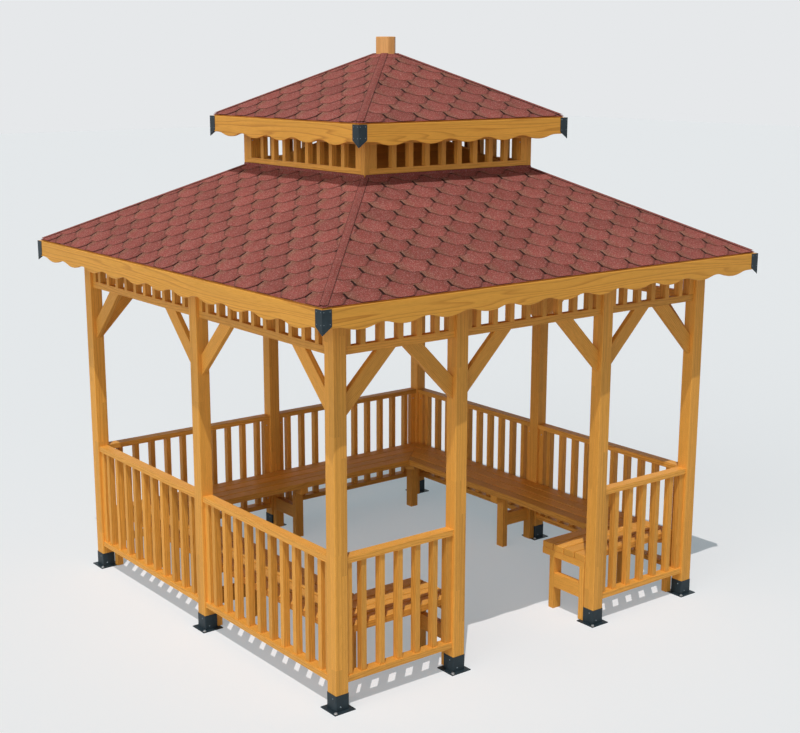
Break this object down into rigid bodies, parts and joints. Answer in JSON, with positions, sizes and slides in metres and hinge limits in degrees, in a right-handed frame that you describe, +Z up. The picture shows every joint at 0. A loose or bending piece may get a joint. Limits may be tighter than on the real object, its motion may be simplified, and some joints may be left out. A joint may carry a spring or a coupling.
{
  "type": "garden gazebo",
  "caption": "Square timber garden gazebo with railings, inside benches, friezes with knee braces and a two-tier shingled hip roof with a slatted lantern.",
  "frame": {"origin": "middle of the plan on the ground", "axes": "+Z up; the entrance faces -Y; +X to the right of a person walking in"},
  "size_m": [3.566, 3.566, 3.8569],
  "materials": {
    "stained_timber": "satin honey stain",
    "shingles": "rough mineral grit",
    "dark_steel": "satin anthracite paint"
  },
  "bodies": {
    "root": {"corner_posts": "stained_timber", "side_posts": "stained_timber", "entrance_posts": "stained_timber", "friezes_front": "stained_timber", "friezes_back": "stained_timber", "friezes_left": "stained_timber", "friezes_right": "stained_timber", "braces_front": "stained_timber", "braces_back": "stained_timber", "braces_left": "stained_timber", "braces_right": "stained_timber", "bench_seat_front_left": "stained_timber", "bench_seat_front_right": "stained_timber", "bench_seat_left": "stained_timber", "bench_seat_right": "stained_timber", "bench_seat_back": "stained_timber", "bench_leg_frames": "stained_timber", "bench_corner_frames": "stained_timber", "ring_beams_sides": "stained_timber", "ring_beams_front_back": "stained_timber", "hip_rafters": "stained_timber", "common_rafters": "stained_timber", "lantern_curb": "stained_timber", "lantern_ceiling": "stained_timber", "lantern_posts": "stained_timber", "lantern_friezes": "stained_timber", "lantern_ring": "stained_timber", "roof_hub": "stained_timber", "fascias_front_back": "stained_timber", "fascias_sides": "stained_timber", "railing_front_left": "stained_timber", "railing_front_right": "stained_timber", "railing_left_front": "stained_timber", "railing_left_back": "stained_timber", "railing_right_front": "stained_timber", "railing_right_back": "stained_timber", "railing_back_left": "stained_timber", "railing_back_right": "stained_timber", "lower_roof_slopes_front_back": "shingles", "lower_roof_slopes_sides": "shingles", "upper_roof_slopes_front_back": "shingles", "upper_roof_slopes_sides": "shingles", "hip_caps": "shingles", "post_shoes": "dark_steel", "fascia_corner_brackets": "dark_steel"}
  },
  "joints": []
}
